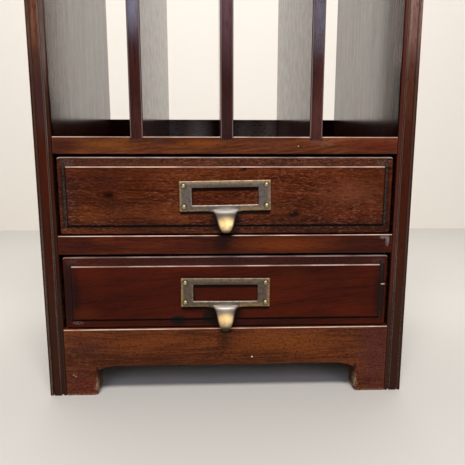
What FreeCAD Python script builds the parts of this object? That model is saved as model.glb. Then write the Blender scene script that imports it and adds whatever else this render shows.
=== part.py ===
import FreeCAD, Part
import math
import os

# A small mahogany stationery case: four upright bays over two drawers.
# Millimetres. X runs to the right, Y to the back and Z up; the origin is the centre of the
# whole object's box, at the floor.

os.makedirs("parts", exist_ok=True)
V = FreeCAD.Vector

# Case
case_width = 310.0          # over the outer faces of the two sides
case_depth = 207.0          # from the front plane to the boards' rear edges
side_thick = 15.0
outer_bead = 3.2            # half-round bead on a side's front edge, at its outer face
inner_bead = 3.7            # the same, at its inner face
quirk_width = 0.9           # groove beside each bead
apron_height = 60.0         # floor to the lower drawer's opening
lower_opening = 65.4
rail_thick = 16.0
upper_opening = 67.0
shelf_thick = 13.8
bay_height = 263.8          # shelf to the underside of the top
top_thick = 14.0
top_overhang = 7.0          # at the front and both sides
top_round = 5.0             # upper arris of the top
top_under_round = 2.5       # lower arris of the top
divider_thick = 10.6
divider_round = 1.3         # front arrises of a divider
housing = 3.0               # how deep a divider stands in the shelf and the top
side_housing = 5.0          # how deep shelf, bottom and tenons stand in a side
housing_stop = 12.0         # housings stop this far behind the front plane
eased = 1.0                 # worn front arrises of rails and shelf

# Apron and feet
apron_thick = 16.0
foot_width = 27.0           # apron left standing beside each side
cut_height = 26.4           # floor to the middle of the cut-out
cut_spring = 2.6            # rise of the cut-out's edge towards its middle
cut_spring_run = 15.0
cut_corner = 3.5            # inner corner of the cut-out
foot_wear = 4.0             # worn corner at the foot of the cut-out
tenon_shoulder = 4.5        # wood left each side of a stub tenon

# Inside the case
rail_depth = 42.0
runner_width = 22.0
runner_housing = 3.0
panel_thick = 5.0           # dust panel between the drawers
panel_groove = 5.0
bottom_thick = 10.0
block_size = 18.0           # glue blocks in the corners under the bottom
block_floor_gap = 2.0
stop_width = 30.0           # drawer stops
stop_depth = 18.0
stop_thick = 4.0
stop_inset = 32.0           # from a side's inner face to a stop

# Back
back_thick = 8.0
back_inset = 2.0            # from a side's outer face
back_floor_gap = 6.0
upstand_height = 32.0       # how far the back stands above the shelf
screw_head = 3.5            # radii
screw_shank = 1.6
screw_length = 22.0
screw_slot = 0.8
screw_slot_depth = 0.9
screws_per_side = 4
screws_per_board = 3
screw_end_gap = 16.0        # from the back's lower and upper edge to the end screws
fit = 0.05                  # clearance round screws, dowels and nails

# Dowels between the sides and the top
dowel_radius = 4.0
dowel_depth = 18.0          # in the side
dowel_rise = 9.0            # in the top
dowel_inset = 35.0          # from the front plane and from the rear edge

# Drawers
drawer_side_gap = 1.5
drawer_top_gap = 2.2
drawer_run_gap = 0.3        # under a drawer's sides
front_lift = 0.8            # under a drawer's front
drawer_back_gap = 6.0       # behind a drawer that rests on its stops
border_recess = 2.0         # front plane to the border of a drawer front
field_rise = 1.7            # raised field above its border
field_round = 1.2
border_ends = 6.9           # border width at the left and right
border_edges = 7.8          # border width at the top and bottom
front_thick = 16.0          # border face to the inner face
front_corner = 2.5
front_round = 1.5
lining_thick = 8.0          # drawer sides and back
lining_drop = 1.5           # drawer sides below the top of the front
back_drop = 3.0             # drawer back below its sides
tail_length = 11.0          # lapped dovetails in the front
tail_count = 3
tail_slope = 1.0 / 7.0
pin_width = 3.0             # narrow end of the pins between the tails
end_pin = 3.5
drawer_bottom_thick = 5.0
drawer_bottom_lift = 6.0    # underside of the bottom above the lower edges of the sides
drawer_groove = 4.0
nail_radius = 0.8
nail_length = 15.0
nail_head = 1.6
nail_head_thick = 0.8
nail_inset = 45.0           # from the drawer side to the outer nails

# Card frames with their pulls
frame_width = 75.6
frame_height = 25.4
frame_thick = 2.4
frame_round = 0.6
frame_offset = -1.5         # left of the middle of the case
frame_lift = 0.35           # above the middle of the drawer front
upper_frame_tilt = 0.9      # degrees, right end up, as it was pinned by hand
lower_frame_tilt = -0.3
window_width = 54.8
window_height = 14.3
window_above = 5.7          # frame left above the window
window_round = 1.0
pocket_depth = 0.9          # slot behind the frame for the card
pocket_lap = 3.0            # how far the card reaches behind the frame
pin_inset_x = 3.6
pin_inset_z = 4.1
pin_head = 1.65
pin_head_rise = 0.9
pin_shank = 0.6
pin_shank_length = 7.0
pull_reach = 14.5           # in front of the frame's face
pull_drop = 15.2            # below the frame's lower edge
pull_flare = 20.3           # width where the pull leaves the frame
pull_width = 14.6
pull_thick = 2.3
pull_root = 1.0             # pull's upper edge above the frame's lower edge

# Planes that several pieces share
inner = case_width / 2 - side_thick
frame_stand = frame_thick + field_rise - border_recess + pull_reach
front_reach = max(frame_stand, top_overhang)
y_front = front_reach - (front_reach + case_depth + back_thick) / 2
y_rear = y_front + case_depth
y_back = y_rear + back_thick
z_rail = apron_height + lower_opening
z_upper = z_rail + rail_thick
z_shelf = z_upper + upper_opening
z_bay = z_shelf + shelf_thick
z_top = z_bay + bay_height
z_upstand = z_bay + upstand_height
y_border = y_front + border_recess
y_field = y_border - field_rise
y_inner = y_border + front_thick
hands = {"left": -1, "right": 1}


def block(xs, ys, zs):
    """A box between two values on each axis."""
    low = V(min(xs), min(ys), min(zs))
    return Part.makeBox(abs(xs[1] - xs[0]), abs(ys[1] - ys[0]), abs(zs[1] - zs[0]), low)


def ease(shape, radius, chosen):
    """Round the straight or curved edges whose middle passes the test."""
    edges = [edge for edge in shape.Edges if chosen(edge.CenterOfMass, edge)]
    return shape.makeFillet(radius, edges)


def near(a, b):
    return abs(a - b) < 0.001


def line(a, b):
    return Part.LineSegment(V(*a), V(*b)).toShape()


def arc(a, middle, b):
    return Part.Arc(V(*a), V(*middle), V(*b)).toShape()


def curve(points):
    spline = Part.BSplineCurve()
    spline.interpolate([V(*point) for point in points])
    return spline


def prism(edges, direction):
    outline = Part.Wire(Part.sortEdges(edges)[0])
    return Part.Face(outline).extrude(direction)


def along_y(radius, length, x, y, z):
    return Part.makeCylinder(radius, length, V(x, y, z), V(0, 1, 0))


def spread(first, last, count):
    """Evenly spaced values from first to last."""
    step = (last - first) / max(count - 1, 1)
    return [first + step * index for index in range(count)]


def group(solids):
    return Part.makeCompound(solids)


def save(name, shape):
    shape.exportStep("parts/" + name + ".step")


# ---- boards between the sides -------------------------------------------------------------

def shelf_board():
    """The floor of the bays; it stops short of the front where it enters the sides."""
    let_in = inner + side_housing
    board = block((-inner, inner), (y_front, y_rear), (z_shelf, z_bay))
    board = ease(board, eased, lambda mid, edge: near(mid.y, y_front) and near(mid.x, 0))
    ends = block((-let_in, let_in), (y_front + housing_stop, y_rear), (z_shelf, z_bay))
    return board.fuse(ends).removeSplitter()


def middle_rail():
    let_in = inner + side_housing
    rail = block((-inner, inner), (y_front, y_front + rail_depth), (z_rail, z_upper))
    rail = ease(rail, eased, lambda mid, edge: near(mid.y, y_front) and near(mid.x, 0))
    tenon = block((-let_in, let_in), (y_front + housing_stop, y_front + rail_depth),
                  (z_rail + tenon_shoulder, z_upper - tenon_shoulder))
    return rail.fuse(tenon).removeSplitter()


def runner(hand):
    return block((hand * (inner - runner_width), hand * (inner + runner_housing)),
                 (y_front + rail_depth, y_rear), (z_rail, z_upper))


def dust_board():
    reach = inner - runner_width + panel_groove
    middle = (z_rail + z_upper) / 2
    return block((-reach, reach), (y_front + rail_depth - panel_groove, y_rear),
                 (middle - panel_thick / 2, middle + panel_thick / 2))


def floor_board():
    let_in = inner + side_housing
    return block((-let_in, let_in), (y_front + apron_thick, y_rear),
                 (apron_height - bottom_thick, apron_height))


def apron_half(hand):
    """Edges of one half of the apron's outline, from the middle of the cut-out round its foot.

    The cut-out's upper edge runs level, then falls in a slow arc into a small corner arc.
    """
    foot = inner - foot_width
    slow = (cut_spring_run ** 2 + cut_spring ** 2) / (2 * cut_spring)
    level_end = foot - cut_corner - cut_spring_run
    slow_z = cut_height - slow
    corner_x = foot - cut_corner
    corner_z = slow_z + math.sqrt((slow - cut_corner) ** 2 - cut_spring_run ** 2)
    meet = math.atan2(corner_z - slow_z, cut_spring_run)

    def at(x, z):
        return (hand * x, y_front, z)

    def on_arc(x, z, radius, angle):
        return at(x + radius * math.cos(angle), z + radius * math.sin(angle))

    level = math.pi / 2
    return [
        line(at(0, cut_height), at(level_end, cut_height)),
        arc(at(level_end, cut_height), on_arc(level_end, slow_z, slow, (level + meet) / 2),
            on_arc(level_end, slow_z, slow, meet)),
        arc(on_arc(corner_x, corner_z, cut_corner, meet),
            on_arc(corner_x, corner_z, cut_corner, meet / 2), at(foot, corner_z)),
        line(at(foot, corner_z), at(foot, 0)),
        line(at(foot, 0), at(inner, 0)),
        line(at(inner, 0), at(inner, apron_height)),
        line(at(inner, apron_height), at(0, apron_height)),
    ]


def worn_corner(hand):
    """What has worn off the lower corner of a foot, beside the cut-out."""
    foot = inner - foot_width
    ys = (y_front, y_front + apron_thick)
    corner = block((hand * foot, hand * (foot + foot_wear)), ys, (0, foot_wear))
    return corner.cut(along_y(foot_wear, apron_thick, hand * (foot + foot_wear), y_front,
                              foot_wear))


def apron():
    board = prism(apron_half(-1) + apron_half(1), V(0, apron_thick, 0)).removeSplitter()

    def front_arris(mid, edge):
        return near(mid.y, y_front) and not near(abs(mid.x), inner) and mid.z > 0.001

    board = ease(board, eased, front_arris)
    board = board.cut(worn_corner(-1)).cut(worn_corner(1))
    let_in = inner + side_housing
    tenon = block((-let_in, let_in),
                  (y_front + tenon_shoulder, y_front + apron_thick - tenon_shoulder),
                  (cut_height + tenon_shoulder, apron_height - tenon_shoulder))
    return board.fuse(tenon).removeSplitter()


def divider(x):
    board = block((x - divider_thick / 2, x + divider_thick / 2), (y_front, y_rear),
                  (z_bay - housing, z_top + housing))
    return ease(board, divider_round,
                lambda mid, edge: near(mid.y, y_front) and not near(mid.x, x))


def housing_for(x):
    return block((x - divider_thick / 2, x + divider_thick / 2), (y_front, y_rear),
                 (z_bay - housing, z_top + housing))


def top():
    reach = case_width / 2 + top_overhang
    board = block((-reach, reach), (y_front - top_overhang, y_rear), (z_top, z_top + top_thick))

    def rim(mid, z):
        return near(mid.z, z) and not near(mid.y, y_rear)

    board = ease(board, top_round, lambda mid, edge: rim(mid, z_top + top_thick))
    return ease(board, top_under_round, lambda mid, edge: rim(mid, z_top))


# ---- sides ---------------------------------------------------------------------------------

def side(hand):
    """A plain board with a bead worked on both arrises of its front edge."""
    outer = case_width / 2
    outer_base = y_front + outer_bead / 2
    inner_base = y_front + inner_bead / 2
    flat_outer = outer - outer_bead - quirk_width
    flat_inner = inner + inner_bead + quirk_width

    def at(x, y):
        return (hand * x, y, 0)

    section = [
        line(at(outer, y_rear), at(outer, outer_base)),
        arc(at(outer, outer_base), at(outer - outer_bead / 2, y_front),
            at(outer - outer_bead, outer_base)),
        line(at(outer - outer_bead, outer_base), at(flat_outer, outer_base)),
        line(at(flat_outer, outer_base), at(flat_outer, y_front)),
        line(at(flat_outer, y_front), at(flat_inner, y_front)),
        line(at(flat_inner, y_front), at(flat_inner, inner_base)),
        line(at(flat_inner, inner_base), at(inner + inner_bead, inner_base)),
        arc(at(inner + inner_bead, inner_base), at(inner + inner_bead / 2, y_front),
            at(inner, inner_base)),
        line(at(inner, inner_base), at(inner, y_rear)),
        line(at(inner, y_rear), at(outer, y_rear)),
    ]
    return prism(section, V(0, 0, z_top))


# ---- back and fastenings -------------------------------------------------------------------

def back():
    reach = case_width / 2 - back_inset
    board = block((-reach, reach), (y_rear, y_back), (back_floor_gap, z_upstand))
    return ease(board, eased, lambda mid, edge: near(mid.z, z_upstand) and near(mid.x, 0))


def screw(x, z, clearance=0.0):
    """A countersunk wood screw driven forwards from the back's rear face."""
    head = screw_head + clearance
    shank = screw_shank + clearance
    end = screw_length + clearance
    corners = [(0, 0), (head, 0), (shank, screw_head - screw_shank), (shank, end), (0, end)]
    points = [V(x + radius, y_back - depth, z) for radius, depth in corners]
    outline = Part.makePolygon(points + points[:1])
    body = Part.Face(outline).revolve(V(x, y_back, z), V(0, 1, 0), 360)
    if clearance:
        return body
    slot = block((x - screw_head, x + screw_head), (y_back - screw_slot_depth, y_back),
                 (z - screw_slot / 2, z + screw_slot / 2))
    return body.cut(slot)


def screw_places():
    """Screws into both sides' rear edges, the shelf and the bottom board."""
    side_x = case_width / 2 - side_thick / 2
    places = []
    heights = spread(back_floor_gap + screw_end_gap, z_upstand - screw_end_gap, screws_per_side)
    for hand in hands.values():
        places += [(hand * side_x, z) for z in heights]
    across = inner / 2
    for z in (apron_height - bottom_thick / 2, z_bay - shelf_thick / 2):
        places += [(x, z) for x in spread(-across, across, screws_per_board)]
    return places


def dowel_places():
    side_x = case_width / 2 - side_thick / 2
    rows = (y_front + dowel_inset, y_rear - dowel_inset)
    return [(hand * side_x, y) for hand in hands.values() for y in rows]


def dowel(x, y, clearance=0.0):
    return Part.makeCylinder(dowel_radius + clearance, dowel_depth + dowel_rise + 2 * clearance,
                             V(x, y, z_top - dowel_depth - clearance))


def glue_blocks():
    """Upright blocks in the four corners under the bottom board, and two behind the apron."""
    low = block_floor_gap
    high = apron_height - bottom_thick
    rows = ((y_front + apron_thick, y_front + apron_thick + block_size),
            (y_rear - block_size, y_rear))
    blocks = []
    for hand in hands.values():
        for row in rows:
            start = low if row is rows[0] else back_floor_gap + block_floor_gap
            blocks.append(block((hand * (inner - block_size), hand * inner), row, (start, high)))
        blocks.append(block((hand * inner / 3, hand * (inner / 3 + 2 * block_size)), rows[0],
                            (cut_height + block_floor_gap, high)))
    return blocks


def stops(z):
    """Two blocks that the drawer's front meets when it is home."""
    pair = []
    for hand in hands.values():
        outer_edge = inner - stop_inset
        pair.append(block((hand * (outer_edge - stop_width), hand * outer_edge),
                          (y_inner, y_inner + stop_depth), (z, z + stop_thick)))
    return pair


# ---- drawers -------------------------------------------------------------------------------

def tails(hand, half, y_root, y_tip, z_low, z_high):
    """Dovetails on one end of a drawer side, widening from root to tip."""
    pitch = (z_high - z_low) / tail_count
    tip = (pitch - pin_width) / 2
    root = tip - abs(y_tip - y_root) * tail_slope
    cut = []
    for index in range(tail_count):
        middle = z_low + pitch * (index + 0.5)
        corners = [(y_root, middle - root), (y_tip, middle - tip),
                   (y_tip, middle + tip), (y_root, middle + root)]
        points = [V(hand * (half - lining_thick), y, z) for y, z in corners]
        outline = Part.makePolygon(points + points[:1])
        cut.append(Part.Face(outline).extrude(V(hand * lining_thick, 0, 0)))
    return cut


def card_frame_pull():
    """The finger pull under a card frame, about the middle of the frame's lower edge.

    Its side view leaves the frame almost level, and turns down to a rounded tip.
    """
    reach, drop = pull_reach, pull_drop
    crown = curve([(0, 0, pull_root), (0, -0.16 * reach, -0.05 * drop),
                   (0, -0.48 * reach, -0.13 * drop), (0, -0.80 * reach, -0.31 * drop),
                   (0, -0.97 * reach, -0.58 * drop), (0, -reach, -0.84 * drop),
                   (0, -0.95 * reach, -drop)])
    under = []
    for share in (1.0, 0.8, 0.6, 0.4, 0.2, 0.0):
        place = crown.FirstParameter + share * (crown.LastParameter - crown.FirstParameter)
        point = crown.value(place)
        run = crown.tangent(place)[0]
        inward = V(0, -run.z, run.y)
        under.append(point + inward * pull_thick)
    hollow = curve([(0, point.y, point.z) for point in under])
    root_top = (0, frame_thick - pocket_depth, pull_root)
    root_low = (0, frame_thick - pocket_depth, under[-1].z)
    side_view = [crown.toShape(),
                 line((0, -0.95 * reach, -drop), tuple(under[0])),
                 hollow.toShape(),
                 line(tuple(under[-1]), root_low),
                 line(root_low, root_top),
                 line(root_top, (0, 0, pull_root))]
    strip = prism(side_view, V(pull_flare + 2 * pull_thick, 0, 0))
    strip.translate(V(-pull_flare / 2 - pull_thick, 0, 0))
    wide = pull_flare / 2
    narrow = pull_width / 2
    half = [(wide + pull_thick, 0), (wide, -0.11 * drop), (wide - 0.55 * (wide - narrow),
            -0.28 * drop), (narrow, -0.52 * drop), (0.90 * narrow, -0.74 * drop),
            (0.60 * narrow, -0.93 * drop)]
    left = [(-x, 0, z) for x, z in half]
    right = [(x, 0, z) for x, z in reversed(half)]
    outline = curve(left + [(0, 0, -drop)] + right)
    corners = [right[-1], (right[-1][0], 0, pull_root), (left[0][0], 0, pull_root), left[0]]
    edges = [outline.toShape()] + [line(a, b) for a, b in zip(corners, corners[1:])]
    face_on = prism(edges, V(0, reach + 2 * frame_thick, 0))
    face_on.translate(V(0, -reach - pull_thick, 0))
    return strip.common(face_on)


def card_frame():
    """A brass card frame about its own centre, its back on the plane Y = 0."""
    half_x, half_z = frame_width / 2, frame_height / 2
    plate = block((-half_x, half_x), (-frame_thick, 0), (-half_z, half_z))
    plate = ease(plate, frame_round, lambda mid, edge: near(mid.y, -frame_thick))
    window_top = half_z - window_above
    window_low = window_top - window_height
    window = block((-window_width / 2, window_width / 2), (-frame_thick, 0),
                   (window_low, window_top))
    window = ease(window, window_round, lambda mid, edge: near(mid.y, -frame_thick / 2))
    lap_x = window_width / 2 + pocket_lap
    pocket = block((-lap_x, lap_x), (-pocket_depth, 0), (window_low - pocket_lap, half_z))
    pull = card_frame_pull()
    pull.translate(V(0, -frame_thick, -half_z))
    plate = plate.fuse(pull).cut(window).cut(pocket)
    for x, z in frame_pin_places():
        plate = plate.cut(along_y(pin_shank + fit, frame_thick, x, -frame_thick, z))
    return plate.removeSplitter()


def frame_pin_places():
    x = frame_width / 2 - pin_inset_x
    z = frame_height / 2 - pin_inset_z
    return [(-x, -z), (x, -z), (-x, z), (x, z)]


def frame_pin(x, z):
    """A round-headed brass pin through the frame into the drawer front."""
    ball = (pin_head ** 2 + pin_head_rise ** 2) / (2 * pin_head_rise)
    dome = Part.makeSphere(ball, V(x, -frame_thick - pin_head_rise + ball, z))
    dome = dome.common(along_y(pin_head, pin_head_rise, x, -frame_thick - pin_head_rise, z))
    shank = along_y(pin_shank, frame_thick + pin_shank_length, x, -frame_thick, z)
    return dome.fuse(shank)


def drawer(name, floor, opening, tilt):
    half = inner - drawer_side_gap
    lining = half - lining_thick
    low, high = floor + front_lift, floor + opening - drawer_top_gap
    side_low, side_high = floor + drawer_run_gap, high - lining_drop
    back_end = y_rear - drawer_back_gap
    back_start = back_end - lining_thick
    panel_low = side_low + drawer_bottom_lift
    panel_high = panel_low + drawer_bottom_thick

    panel = block((-lining - drawer_groove, lining + drawer_groove),
                  (y_inner - drawer_groove, back_end), (panel_low, panel_high))

    front = block((-half, half), (y_border, y_inner), (low, high))
    front = ease(front, front_corner,
                 lambda mid, edge: near(abs(mid.x), half) and near(mid.y, (y_border + y_inner) / 2))
    front = ease(front, front_round, lambda mid, edge: near(mid.y, y_border))
    field_x = half - border_ends
    field = block((-field_x, field_x), (y_field, y_inner),
                  (low + border_edges, high - border_edges))
    field = ease(field, field_round, lambda mid, edge: near(mid.y, y_field))
    front = front.fuse(field)

    board = block((-half, half), (back_start, back_end), (panel_high, side_high - back_drop))
    sides = {}
    for side_name, hand in hands.items():
        lap = tails(hand, half, y_inner, y_inner - tail_length, low + end_pin,
                    side_high - end_pin)
        through = tails(hand, half, back_start, back_end, panel_high, side_high - back_drop)
        board = board.cut(group(through))
        front = front.cut(group(lap))
        sides[side_name] = block((hand * lining, hand * half), (y_inner, back_end),
                                 (side_low, side_high)).fuse(lap)
    for side_name, shape in sides.items():
        shape = shape.cut(board).cut(panel).removeSplitter()
        save(name + "_side_" + side_name, shape)
    front = front.cut(panel)

    nails = []
    for x in spread(nail_inset - lining, lining - nail_inset, 3):
        place = V(x, (back_start + back_end) / 2, panel_low)
        nails.append(Part.makeCylinder(nail_radius, nail_length, place).fuse(
            Part.makeCylinder(nail_head, nail_head_thick, place)))
        hole = Part.makeCylinder(nail_radius + fit, nail_length + fit, place).fuse(
            Part.makeCylinder(nail_head + fit, nail_head_thick + fit, place))
        panel = panel.cut(hole)
        board = board.cut(hole)

    middle = V(frame_offset, y_field, (low + high) / 2 + frame_lift)

    def pin_on(shape):
        shape.rotate(V(0, 0, 0), V(0, 1, 0), -tilt)
        shape.translate(middle)
        return shape

    pins = [pin_on(frame_pin(x, z)) for x, z in frame_pin_places()]
    for x, z in frame_pin_places():
        front = front.cut(pin_on(along_y(pin_shank + fit, pin_shank_length + fit, x, 0, z)))

    save(name + "_front", front.removeSplitter())
    save(name + "_back", board)
    save(name + "_bottom", panel)
    save(name + "_bottom_nails", group(nails))
    save(name + "_card_frame", pin_on(card_frame()))
    save(name + "_card_frame_pins", group(pins))


# ---- assembly ------------------------------------------------------------------------------

bay_width = (2 * inner - 3 * divider_thick) / 4
divider_x = {"left": -bay_width - divider_thick, "centre": 0.0,
             "right": bay_width + divider_thick}

shelf = shelf_board()
rail = middle_rail()
panel = dust_board()
floor = floor_board()
front_apron = apron()
top_board = top()
back_board = back()
runners = {name: runner(hand).cut(panel) for name, hand in hands.items()}
rail = rail.cut(panel)

for name, x in divider_x.items():
    save("divider_" + name, divider(x))
    shelf = shelf.cut(housing_for(x))
    top_board = top_board.cut(housing_for(x))

screw_holes = group([screw(x, z, fit) for x, z in screw_places()])
dowel_holes = group([dowel(x, y, fit) for x, y in dowel_places()])
back_board = back_board.cut(screw_holes)
shelf = shelf.cut(screw_holes)
floor = floor.cut(screw_holes)
top_board = top_board.cut(dowel_holes)

for name, hand in hands.items():
    board = side(hand)
    for let_in in (shelf_board(), middle_rail(), floor_board(), front_apron, runner(hand),
                   screw_holes, dowel_holes):
        board = board.cut(let_in)
    save(name + "_side", board)
    save("runner_" + name, runners[name])

save("shelf_board", shelf)
save("middle_rail", rail)
save("dust_panel", panel)
save("bottom_board", floor)
save("front_apron", front_apron)
save("top_board", top_board)
save("back_board", back_board)
save("back_screws", group([screw(x, z) for x, z in screw_places()]))
save("top_dowels", group([dowel(x, y) for x, y in dowel_places()]))
save("glue_blocks", group(glue_blocks()))
save("lower_drawer_stops", group(stops(apron_height)))
save("upper_drawer_stops", group(stops(z_upper)))

drawer("lower_drawer", apron_height, lower_opening, lower_frame_tilt)
drawer("upper_drawer", z_upper, upper_opening, upper_frame_tilt)
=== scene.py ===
import bpy
import math
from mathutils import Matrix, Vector


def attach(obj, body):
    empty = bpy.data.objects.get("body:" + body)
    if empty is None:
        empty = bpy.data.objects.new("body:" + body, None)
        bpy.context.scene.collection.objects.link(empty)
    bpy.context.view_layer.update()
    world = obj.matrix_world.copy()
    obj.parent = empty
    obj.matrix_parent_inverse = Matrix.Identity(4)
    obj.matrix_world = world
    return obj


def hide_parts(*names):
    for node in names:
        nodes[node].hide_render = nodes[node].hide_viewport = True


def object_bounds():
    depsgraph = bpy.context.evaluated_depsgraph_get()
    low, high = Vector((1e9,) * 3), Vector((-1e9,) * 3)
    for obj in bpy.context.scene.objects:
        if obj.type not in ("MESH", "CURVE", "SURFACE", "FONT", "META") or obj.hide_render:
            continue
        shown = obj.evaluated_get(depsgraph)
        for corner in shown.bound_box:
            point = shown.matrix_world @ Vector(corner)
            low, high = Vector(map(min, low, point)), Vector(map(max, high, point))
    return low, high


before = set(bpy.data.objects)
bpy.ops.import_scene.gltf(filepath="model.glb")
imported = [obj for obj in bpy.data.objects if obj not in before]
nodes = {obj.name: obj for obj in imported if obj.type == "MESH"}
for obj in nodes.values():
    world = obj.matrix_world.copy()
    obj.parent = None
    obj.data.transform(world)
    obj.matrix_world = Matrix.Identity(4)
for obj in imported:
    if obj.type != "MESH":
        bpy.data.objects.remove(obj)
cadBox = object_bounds()
bpy.ops.object.select_all(action="DESELECT")
print("frame loaded:", len(nodes), "nodes")

# lengths are in millimetres unless a note says metres, which is what Blender wants
frontPlane = -99.2       # Y of the front edges of the case
frontZone = (-130, -90)  # range of Y that holds all of its front faces
bumpDepth = 0.04
raySamples = 6           # for the nodes that feel for arrises and crevices


def mm(value):
    return value / 1000.0


def place(x, y, z):
    return Vector((mm(x), mm(y), mm(z)))


def perMetre(millimetres):
    return 1000.0 / millimetres       # texture scale that repeats once in so many millimetres


def hexColour(text):
    # sRGB hex to the linear colour that sockets want
    channels = []
    for start in (1, 3, 5):
        c = int(text[start:start + 2], 16) / 255
        channels.append(c / 12.92 if c <= 0.04045 else ((c + 0.055) / 1.055) ** 2.4)
    return (*channels, 1.0)


def addNode(tree, kind, inputs=None, output=0, stops=None, **settings):
    # one node with its settings, its inputs set or linked; gives the output that is wanted
    node = tree.nodes.new(kind)
    for key, value in settings.items():
        setattr(node, key, value)
    for key, value in (inputs or {}).items():
        if isinstance(value, bpy.types.NodeSocket):
            tree.links.new(value, node.inputs[key])
        else:
            node.inputs[key].default_value = hexColour(value) if isinstance(value, str) else value
    if stops:
        band = node.color_ramp.elements
        for index, (position, colour) in enumerate(stops):
            stop = band[index] if index < 2 else band.new(position)
            stop.position = position
            stop.color = hexColour(colour)
    return node.outputs[output] if node.outputs else node


def newMaterial(name):
    material = bpy.data.materials.new(name)
    material.use_nodes = True
    material.node_tree.nodes.clear()
    return material, material.node_tree


def paint(piece, material):
    if not piece.material_slots:
        piece.data.materials.append(material)
    for slot in piece.material_slots:
        slot.material = material


def spotMask(tree, where, x, z, wide, high, core=0.0, near=None):
    # one soft round patch seen from the front, solid out to core of its radius;
    # near is the Y it lies at and how deep it goes, or nothing for all the way through
    y, deep = near or (0, None)
    lie = addNode(tree, "ShaderNodeMapping", {
        "Vector": where,
        "Scale": (perMetre(wide), perMetre(deep) if deep else 0, perMetre(high)),
        "Location": (-x / wide, -y / deep if deep else 0, -z / high)})
    fall = addNode(tree, "ShaderNodeTexGradient", {"Vector": lie}, "Fac",
                   gradient_type="SPHERICAL")
    return addNode(tree, "ShaderNodeMapRange", {"Value": fall, "From Max": 1.0 - core},
                   interpolation_type="SMOOTHSTEP")


def boxMask(tree, where, x, z, soft, y=None):
    # one inside a range of X, of Z and of Y, fading over soft beyond it
    mask = None
    for axis, span in (("X", x), ("Z", z), ("Y", y)):
        if not span:
            continue
        along = addNode(tree, "ShaderNodeSeparateXYZ", {0: where}, axis)
        for edge, side in ((span[0], -soft), (span[1], soft)):
            fade = addNode(tree, "ShaderNodeMapRange", {
                "Value": along, "From Min": mm(edge + side), "From Max": mm(edge)})
            mask = fade if mask is None else addNode(
                tree, "ShaderNodeMath", {0: mask, 1: fade}, operation="MULTIPLY")
    return mask


def patches(tree, where, apart, detail, low, high, least=0.0):
    # noise with patches so many millimetres apart, stretched from least to one
    noise = addNode(tree, "ShaderNodeTexNoise", {
        "Vector": where, "Scale": perMetre(apart), "Detail": detail})
    return addNode(tree, "ShaderNodeMapRange", {
        "Value": noise, "From Min": low, "From Max": high, "To Min": least})


def arrisMask(tree, flat, reach, full):
    # one on arrises, where the surface turns within so many millimetres
    eased = addNode(tree, "ShaderNodeBevel", {"Radius": mm(reach)}, samples=raySamples)
    turned = addNode(tree, "ShaderNodeVectorMath", {0: flat, 1: eased}, "Value",
                     operation="DOT_PRODUCT")
    return addNode(tree, "ShaderNodeMapRange", {
        "Value": turned, "From Min": 0.99, "From Max": full})


def creviceMask(tree, reach, clear, full, alone):
    # one in corners within so many millimetres, where the darkening stands for dirt and painted
    # shade; alone leaves out neighbours
    aired = addNode(tree, "ShaderNodeAmbientOcclusion", {"Distance": mm(reach)}, "AO",
                    samples=raySamples, only_local=alone)
    return addNode(tree, "ShaderNodeMapRange", {
        "Value": aired, "From Min": clear, "From Max": full})


def layOver(tree, colour, tint, mask, amount, within):
    # the colour with a tint over it, and the share of the tint that shows
    share = addNode(tree, "ShaderNodeMath", {0: mask, 1: amount}, operation="MULTIPLY")
    share = addNode(tree, "ShaderNodeMath", {0: share, 1: within}, operation="MULTIPLY")
    return addNode(tree, "ShaderNodeMix", {0: share, 6: colour, 7: tint}, 2,
                   data_type="RGBA"), share


grain = {
    # length along the grain and width across it
    "figure": (210, 15),
    "streak": (30, 1.5),
    "fleck": (3.6, 0.56),    # pale pores, partly wax in them and partly painted glints
    "polish": (160, 4.2),    # ripple of the grain in what the polish mirrors
    "dapple": (10, 8),       # where the polish took unevenly
    "uneven": 26,            # how far apart the bright arrises swell and fade
    "wander": 150,
    "wanderBy": 7,
    "blotch": 55,
    "speckle": 1.0,          # how coarsely wax and wear are broken up
    "arris": 2.0,
    "crevice": 2.4,
}


def runOfGrain(tree, where, look):
    # where a point lies along the grain, which wanders and parts round every knot
    lie = where
    for x, z, wide, high in look["knots"]:
        reach = spotMask(tree, where, x, z, 3.2 * wide, 4.5 * high)
        away = addNode(tree, "ShaderNodeVectorMath", {0: where, 1: place(x, 0, z)},
                       operation="SUBTRACT")
        away = addNode(tree, "ShaderNodeVectorMath", {0: away, 1: (0, 0, -0.75)},
                       operation="MULTIPLY")
        away = addNode(tree, "ShaderNodeVectorMath", {0: away, "Scale": reach},
                       operation="SCALE")
        lie = addNode(tree, "ShaderNodeVectorMath", {0: lie, 1: away}, operation="ADD")
    turn = {"X": (0, look["slope"], 0), "Y": (0, 0, 90), "Z": (0, 90, 0)}[look["along"]]
    lie = addNode(tree, "ShaderNodeMapping", {
        "Vector": lie, "Location": place(*look["shift"]),
        "Rotation": [math.radians(degrees) for degrees in turn]})
    sway = addNode(tree, "ShaderNodeTexNoise", {
        "Vector": lie, "Scale": perMetre(grain["wander"]), "Detail": 2.0}, "Color")
    sway = addNode(tree, "ShaderNodeVectorMath", {0: sway, 1: (0.5, 0.5, 0.5)},
                   operation="SUBTRACT")
    reach = mm(2 * grain["wanderBy"])
    return addNode(tree, "ShaderNodeVectorMath", {0: sway, 1: (0, reach, reach), 2: lie},
                   operation="MULTIPLY_ADD")


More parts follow.
